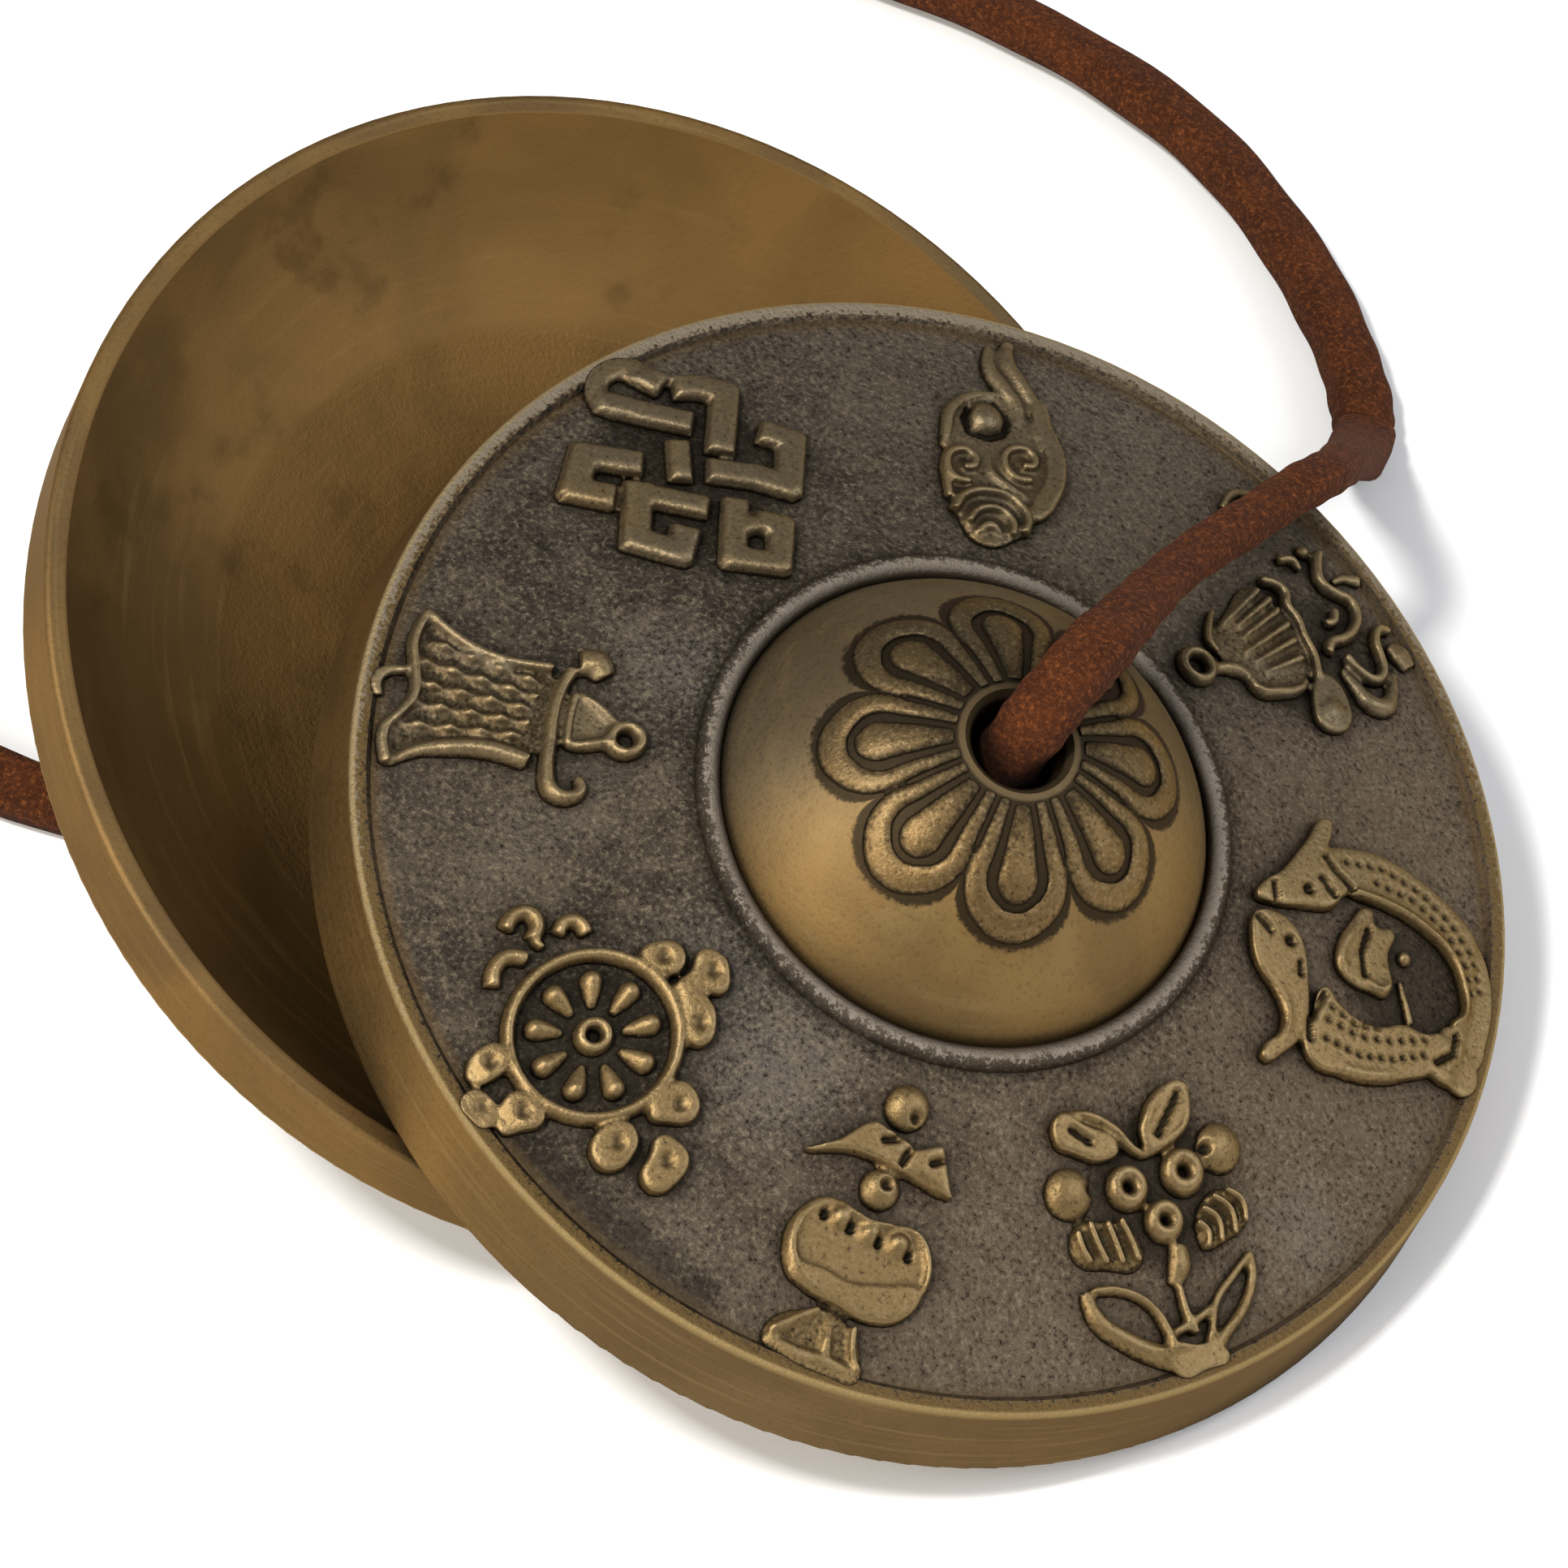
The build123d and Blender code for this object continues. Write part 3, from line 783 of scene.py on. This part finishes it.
def vase():
    """Treasure vase: a jewel, a flying scarf, a ringed neck, a lobed belly and a spreading foot."""
    knob((86, -169), 13.5, 9.5)
    slab([(73, -195), (77, -188), (102, -184), (105, -196), (90, -202), (79, -207), (57, -227), (69, -209)],
         8.8, sharp=True)
    slab([(102, -189), (115, -172), (139, -191), (118, -194), (102, -202)], 9.5, sharp=True)
    line([(60, -224), (78, -208), (102, -199), (132, -192)], (3, 4.5, 5, 3), 10.5)
    knob((104, -213), 12, 9)
    slab([(78, -246), (85, -235), (94, -232), (112, -230), (124, -221), (136, -216), (148, -221),
          (158, -232), (162, -246), (159, -260), (146, -273), (126, -278), (108, -283), (93, -282),
          (82, -272), (77, -260)], 5)
    line([(90, -235), (82, -247), (82, -261), (92, -275), (110, -279), (126, -274)], (5, 7, 9, 10, 9, 7),
         9.5)
    slab([(92, -280), (106, -269), (126, -263), (141, -251), (158, -240), (162, -254), (148, -272),
          (127, -278), (108, -283)], 7.5)
    line([(124, -223), (136, -218), (149, -223), (158, -235), (159, -250)], (4, 5, 5.5, 5, 4), 9.8)
    line([(92, -234), (110, -232), (123, -224)], (4, 4.5, 4), 9.5)
    for lobe in ((98, -240), (116, -236), (132, -229)):
        knob(lobe, 8, 10)
    slab([(120, -285), (142, -280), (163, -295), (164, -303), (150, -310), (125, -318), (106, -317)], 3)
    line([(122, -284), (116, -296), (109, -313)], (5, 7, 9), 9.2)
    line([(130, -284), (135, -293), (140, -301)], (4, 7, 9), 9)
    line([(143, -279), (151, -290), (161, -296)], (5, 6, 6), 9)
    line([(109, -315), (126, -312), (144, -304), (161, -299)], (8, 10, 11, 8), 9)


def banner():
    """Victory banner: a ringed finial on a curled bar, and a rippled cloth that hangs from it."""
    slab([(-228, -95), (-247, -105), (-264, -112), (-305, -110), (-299, -130), (-284, -146), (-276, -165),
          (-278, -182), (-263, -200), (-255, -182), (-242, -168), (-224, -158), (-205, -148), (-213, -123)],
         2.3)
    ring((-170, -107), 8.5, 8, 10)
    slab([(-208, -100), (-182, -103), (-180, -114), (-193, -127)], 4)
    line([(-179, -103), (-195, -99), (-209, -99)], (7, 6, 5), 9)
    line([(-209, -101), (-202, -116), (-194, -129)], 5.5, 8.5)
    line([(-178, -115), (-185, -123), (-194, -129)], (8, 8, 6), 9.2)
    line([(-203, -81), (-213, -77), (-220, -82)], (14, 20, 18), 10)
    line([(-220, -88), (-218, -100), (-212, -116), (-202, -133), (-192, -149), (-183, -157), (-173, -155),
          (-170, -147), (-176, -141)], (9, 8, 8.5, 9, 10, 11, 10, 8.5, 7), 10.5)
    line([(-229, -95), (-249, -106), (-265, -111), (-285, -112), (-305, -109)], 7.5, 9.5)
    line([(-305, -109), (-299, -129), (-287, -143), (-278, -156), (-277, -170), (-278, -182), (-264, -199)],
         7.8, 9.5)
    line([(-263, -198), (-256, -183), (-243, -170), (-226, -158), (-204, -150)], (6, 9, 12, 13, 12), 9.5)
    line([(-291, -145), (-299, -152), (-300, -161), (-293, -168)], (6, 7.5, 7.5, 6), 8.5)


def banner_ripples():
    """Beaded ripples along the banner's cloth, from its bar to its foot."""
    bar_edge = Vector((-229, -104)), Vector((-212, -144))
    foot_edge = Vector((-294, -118)), Vector((-269, -182))
    rows = 5
    beads = 9
    thick = 7.2
    thin = 3.4
    for row in range(rows):
        share = (row + 0.4) / rows
        start = bar_edge[0].lerp(bar_edge[1], share)
        end = foot_edge[0].lerp(foot_edge[1], share)
        widths = [thick if (bead + row) % 2 else thin for bead in range(beads)]
        line([start.lerp(end, bead / (beads - 1)) for bead in range(beads)], widths, 9)


def endless_knot():
    """Endless knot: one flat band that crosses itself on a slanting grid, with gaps where it goes under."""
    line([(-304, 108), (-318, 106), (-326, 95), (-325, 82), (-314, 74), (-296, 82), (-286, 87)], 15, 10)
    runs = [
        ([(-314, 75), (-293, 84), (-273, 94)], 14),
        ([(-302, 107), (-313, 106)], 15),
        ([(-288, 115), (-282, 121), (-267, 129), (-247, 94)], 15),
        ([(-231, 121), (-218, 126), (-201, 96), (-219, 89), (-238, 77)], 15),
        ([(-216, 63), (-196, 31), (-174, 45), (-188, 69), (-197, 64)], 13.5),
        ([(-264, 35), (-245, 5), (-221, 14), (-226, 26)], 15),
        ([(-259, 35), (-231, 49)], 13.5),
        ([(-205, 52), (-196, 64)], 10),
        ([(-278, 49), (-302, 35), (-292, 11), (-276, 19)], 15.5),
        ([(-265, 77), (-252, 60)], 11.5),
    ]
    for run, width in runs:
        for start, end in zip(run, run[1:]):
            bar(start, end, width, 9.5)
    ring((-191, 49), 13, 12, 9.5)


def wheel():
    """Wheel of nine spokes in a rim, with four clusters of flames round it."""
    middle = Vector((-72.5, -254.5))
    spokes = 9
    ring(middle, 47, 8.5, 9.5)
    ring(middle, 7.5, 7.5, 9.5)
    for spoke in range(spokes):
        angle = math.radians(92 - 360 / spokes * spoke)
        ray = Vector((math.cos(angle), math.sin(angle)))
        line([middle + ray * 16, middle + ray * 27, middle + ray * 33], (5, 12, 14), 9)
        knob(middle + ray * 32, 6.6, 9)
    flames = [
        [(-82, -202), (-78, -191), (-70, -187), (-62, -192), (-62, -200), (-70, -204)],
        [(-58, -182), (-48, -177), (-40, -181), (-35, -191), (-46, -197), (-54, -205), (-55, -192)],
        [(-49, -204), (-36, -201), (-26, -208), (-23, -218), (-29, -223), (-39, -216)],
        [(-20, -247), (-12, -244), (-1, -254), (-10, -265), (-19, -268)],
        [(-7, -276), (3, -272), (12, -275), (15, -286), (10, -298), (-1, -296), (-4, -286)],
        [(-28, -283), (-19, -283), (-13, -293), (-16, -305), (-26, -307), (-34, -298)],
        [(-109, -293), (-99, -297), (-99, -308), (-106, -316), (-114, -310), (-114, -299)],
        [(-102, -321), (-93, -318), (-84, -324), (-85, -332), (-93, -333), (-102, -330)],
        [(-84, -308), (-72, -305), (-63, -310), (-69, -321), (-75, -327), (-83, -320)],
    ]
    fuller = 1.15
    for flame in flames:
        centre = sum((Vector(point) for point in flame), Vector((0, 0))) / len(flame)
        slab([centre.lerp(Vector(point), fuller) for point in flame], 9)
    line([(-113, -212), (-121, -209), (-127, -214), (-125, -222)], 9.5, 8.5)
    line([(-134, -233), (-138, -224), (-146, -222), (-151, -230), (-149, -238)], 10.5, 9)
    line([(-139, -224), (-132, -233), (-126, -233)], 5, 8)
    line([(-129, -243), (-138, -249), (-139, -259), (-133, -268)], 10.5, 8.5)


def petals():
    """Eight petals round the crown hole: each a raised band with a tongue inside it."""
    band = [(36, 10), (60, 18), (81, 24), (95, 15), (100.5, 0)]
    band += [(x, -y) for x, y in reversed(band[:-1])]
    widths = (7, 10.5, 14, 15, 15, 15, 14, 10.5, 7)
    tongue = [(39, 0), (60, 0), (78, 0)]
    height = PETAL_CREST / DRAWN
    for petal in range(PETAL_COUNT):
        turn = Matrix.Rotation(2 * math.pi / PETAL_COUNT * petal + PETAL_TURN, 2)
        line([turn @ Vector(point) for point in band], widths, height)
        line([turn @ Vector(point) for point in tongue], (10, 18.5, 25), height)
        knob(turn @ Vector(tongue[-1]), 12.5, height)


# Where it is pitted or cut in, in millimetres: radius and depth of each kind, and how far apart pits are
DIMPLE = (0.45, 0.5)
FLAME_DIMPLE = (0.5, 0.25)
SCALE = (0.25, 0.3)
SCALES_APART = 0.8
CUT = (0.28, 0.45)
CUTS_APART = 0.2
SCALE_ROWS = [
    [(20.6, 15.7), (23.0, 16.9), (25.4, 17.1), (27.4, 16.6), (29.0, 15.4)],
    [(18.5, 15.1), (20.4, 16.8), (23.0, 17.7), (25.5, 17.8), (27.8, 17.3), (29.3, 16.0)],
    [(24.1, 5.2), (26.3, 6.2), (27.9, 7.8), (29.1, 9.6)],
    [(23.5, 6.2), (25.6, 7.1), (27.2, 8.6), (28.6, 10.4)],
    [(23.2, 7.0), (24.9, 7.4), (26.6, 8.9)],
]
DIMPLES = [(17.8, 11.5), (18.9, 7.9), (22.8, -5.7), (19.4, -12.6), (9.3, -17.1), (10.5, -21.0)]
FLAME_DIMPLES = [
    (-7.2, -19.7), (-4.6, -18.6), (-3.2, -21.3), (-1.1, -25.5), (0.4, -28.3), (-2.3, -29.3), (-10.6, -30.3),
    (-7.4, -31.3), (-9.3, -32.4),
]
CUTS = [
    [(16.1, 9.9), (16.9, 9.1)], [(17.4, 14.1), (18.6, 13.9), (19.8, 14.0)], [(18.0, 12.8), (19.2, 12.6)],
    [(16.6, 7.4), (17.6, 7.3)], [(20.2, 7.4), (20.6, 6.9)], [(22.4, 7.2), (22.7, 5.2), (23.4, 4.3)],
    [(22.0, 12.9), (22.5, 11.5), (23.5, 10.5)], [(19.6, -4.8), (19.9, -6.0), (20.3, -7.6)],
    [(16.4, -11.2), (17.6, -10.9)], [(8.8, -19.3), (9.3, -18.8)], [(10.4, -19.6), (10.3, -18.9)],
    [(11.7, -18.4), (12.0, -17.9)], [(8.9, -24.4), (9.0, -24.6)], [(10.5, -24.0), (10.6, -24.2)],
    [(12.2, -23.5), (12.3, -23.7)], [(14.0, -22.9), (14.1, -23.1)],
    [(29.9, 12.3), (30.4, 11.3), (29.9, 9.8)],
    [(-14.6, 24.4), (-13.4, 23.9), (-13.0, 22.8), (-13.5, 21.8), (-14.6, 21.3), (-15.4, 22.0),
     (-15.6, 22.9)],
]


def pits():
    """Place, radius and depth of each small hollow in the ornament."""
    found = [(*place, *DIMPLE) for place in DIMPLES] + [(*place, *FLAME_DIMPLE) for place in FLAME_DIMPLES]
    for rows, apart, kind in ((SCALE_ROWS, SCALES_APART, SCALE), (CUTS, CUTS_APART, CUT)):
        for row in rows:
            count = max(1, round(sum(math.dist(a, b) for a, b in zip(row, row[1:])) / apart))
            found += [(*along(row, step / count), *kind) for step in range(count + 1)]
    return found


def vertex_places(mesh):
    """The places of a mesh's vertices, a row for each."""
    places = np.empty(len(mesh.vertices) * 3)
    mesh.vertices.foreach_get("co", places)
    return places.reshape(-1, 3)


def cast(name, voxel, hollows):
    """Melts the drawn shapes into one skin with soft edges, cut off just under the surface it sits on."""
    bpy.ops.object.select_all(action="DESELECT")
    for shape in drawing.objects:
        shape.select_set(True)
    bpy.context.view_layer.objects.active = drawing.objects[0]
    bpy.ops.object.convert(target="MESH")
    bpy.ops.object.transform_apply(location=True, rotation=True, scale=True)
    bpy.ops.object.join()
    piece = bpy.context.object
    piece.name = name
    piece.data.transform(Matrix.Scale(DRAWN, 4))
    melt = piece.modifiers.new("melt", "REMESH")
    melt.mode = "VOXEL"
    melt.voxel_size = voxel
    melt.use_smooth_shade = True
    soften = piece.modifiers.new("soften", "SMOOTH")
    soften.factor = 0.5
    soften.iterations = 2
    bpy.ops.object.modifier_apply(modifier="melt")
    bpy.ops.object.modifier_apply(modifier="soften")
    bpy.ops.object.mode_set(mode="EDIT")
    bpy.ops.mesh.select_all(action="SELECT")
    bpy.ops.mesh.bisect(plane_co=(0, 0, -SUNK), plane_no=(0, 0, 1), clear_inner=True, use_fill=False)
    bpy.ops.mesh.fill(use_beauty=False)
    bpy.ops.object.mode_set(mode="OBJECT")
    places = vertex_places(piece.data)
    depth = np.zeros(len(places))
    for x, y, radius, deepest in hollows:
        away = np.hypot(places[:, 0] - x, places[:, 1] - y) / radius
        depth = np.maximum(depth, deepest * np.clip(1 - away ** 2, 0, 1))
    places[:, 2] -= np.minimum(depth, np.maximum(places[:, 2] - LEAST_UNDER_PIT, 0))
    piece.data.vertices.foreach_set("co", places.ravel())
    for collection in piece.users_collection:
        collection.objects.unlink(piece)
    bpy.context.scene.collection.objects.link(piece)
    return piece


def over_surroundings(mesh, height):
    """How far each vertex stands over the mean height round it: more than nought on a ridge."""
    ends = np.empty(len(mesh.edges) * 2, dtype=np.int32)
    mesh.edges.foreach_get("vertices", ends)
    first, second = ends.reshape(-1, 2).T
    near = np.concatenate((first, second))
    far = np.concatenate((second, first))
    count = np.maximum(np.bincount(near, minlength=len(height)), 1)
    mean = height
    for _ in range(RIDGE_ROUNDS):
        mean = (mean + np.bincount(near, mean[far], len(height)) / count) / 2
    return height - mean


def seat(piece, place, turn, finish):
    """Wraps drawn ornament onto a casting's outer face, turned about its axis, and notes its height."""
    mesh = piece.data
    flat = vertex_places(mesh)
    height = flat[:, 2].copy()
    x = flat[:, 0] * math.cos(turn) - flat[:, 1] * math.sin(turn)
    y = flat[:, 0] * math.sin(turn) + flat[:, 1] * math.cos(turn)
    radius = np.hypot(x, y)
    fade = np.interp(radius, RIM_FADE, (1, RIM_SHARE))
    seated = np.column_stack((x, y, plate_height(radius) + height * fade)) * MM
    matrix = np.array(place)
    mesh.vertices.foreach_set("co", (seated @ matrix[:3, :3].T + matrix[:3, 3]).ravel())
    mesh.attributes.new("relief", "FLOAT", "POINT").data.foreach_set("value", height)
    ridge = over_surroundings(mesh, height)
    mesh.attributes.new("ridge", "FLOAT", "POINT").data.foreach_set("value", ridge)
    mesh.materials.clear()
    mesh.materials.append(finish)
    mesh.update()


def twin(piece, name):
    """A copy with its own mesh."""
    copy = piece.copy()
    copy.data = piece.data.copy()
    copy.name = name
    bpy.context.scene.collection.objects.link(copy)
    return copy


def make_ornament():
    """The symbols and petals, drawn once and put on both castings."""
    layers = bpy.context.view_layer.layer_collection.children
    bpy.context.view_layer.active_layer_collection = layers["drawing"]
    for symbol in (conch, parasol, fish, lotus, vase, banner, banner_ripples, endless_knot, wheel):
        symbol()
    symbols = cast("upper_symbols", SYMBOL_VOXEL, pits())
    petals()
    flower = cast("upper_petals", PETAL_VOXEL, [])
    bpy.context.view_layer.active_layer_collection = bpy.context.view_layer.layer_collection
    for piece, *look in (
        (symbols, SYMBOL_CREST, 0.5, "#655945", "#745f3d"),
        (flower, PETAL_CREST, 0.85, "#4f4534", "#6b5534"),
    ):
        below = twin(piece, piece.name.replace("upper", "lower"))
        upper_finish = ornament_metal("rubbed_" + piece.name, UPPER_LIP, UPPER_TURN, *look)
        lower_finish = ornament_metal("rubbed_" + below.name, LOWER_LIP, LOWER_TURN, *look)
        seat(piece, UPPER_PLACE, 0.0, upper_finish)
        seat(below, LOWER_PLACE, LOWER_ORNAMENT_TURN, lower_finish)
        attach(piece, "upper_disc")
        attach(below, "lower_disc")


# Stopper knots, in each casting's own millimetres
KNOT_RADIUS = 3.1
KNOT_TOP = 15.5
KNOT_FOOT = 11.9
KNOT_TURN = 400
KNOT_BEGINS = 25
KNOT_HEAD = [(0, 0, 17.9), (0.3, 0, 16.9), (1.6, 0.2, 16.1)]
KNOT_TAIL = [(0.6, 1.6, 10.9), (0, -0.2, 9.9), (0, -1.4, 7.6), (0, -3.4, 3.6)]


def make_knot(name, place, finish):
    """The thong's end wound once round itself under the crown, with its cut tail hanging out."""
    points = []
    steps = 12
    for step in range(steps + 1):
        angle = math.radians(KNOT_BEGINS + KNOT_TURN * step / steps)
        height = KNOT_TOP + (KNOT_FOOT - KNOT_TOP) * step / steps
        points.append((KNOT_RADIUS * math.cos(angle), KNOT_RADIUS * math.sin(angle), height))
    route = KNOT_HEAD + points + KNOT_TAIL
    line = smooth_line([place @ (Vector(point) * MM) for point in route])
    return thong_tube(name, line, place.to_3x3() @ Vector((0, 1, 0)), [SLIM] * len(line), finish)


place_camera()
place_floor()
place_studio()
leather = suede()
for side, lip, turn, ornament_turn in (
    ("upper", UPPER_LIP, UPPER_TURN, 0.0),
    ("lower", LOWER_LIP, LOWER_TURN, LOWER_ORNAMENT_TURN),
):
    casting = frame["nodes"][side + "_cymbal"]
    casting.data.materials.clear()
    casting.data.materials.append(bell_metal("cast_bell_metal_" + side, lip, turn, ornament_turn))
make_ornament()

thong, thong_line, thong_length = make_thong(leather)
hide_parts("strap_over_plate", "strap_drop", "strap_loop")
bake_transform(thong)
lower_knot = make_knot("lower_stopper", LOWER_PLACE, leather)
upper_knot = make_knot("upper_stopper", UPPER_PLACE, leather)
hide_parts("lower_knot")
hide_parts("upper_knot")
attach(lower_knot, "thong")
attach(upper_knot, "upper_thong")
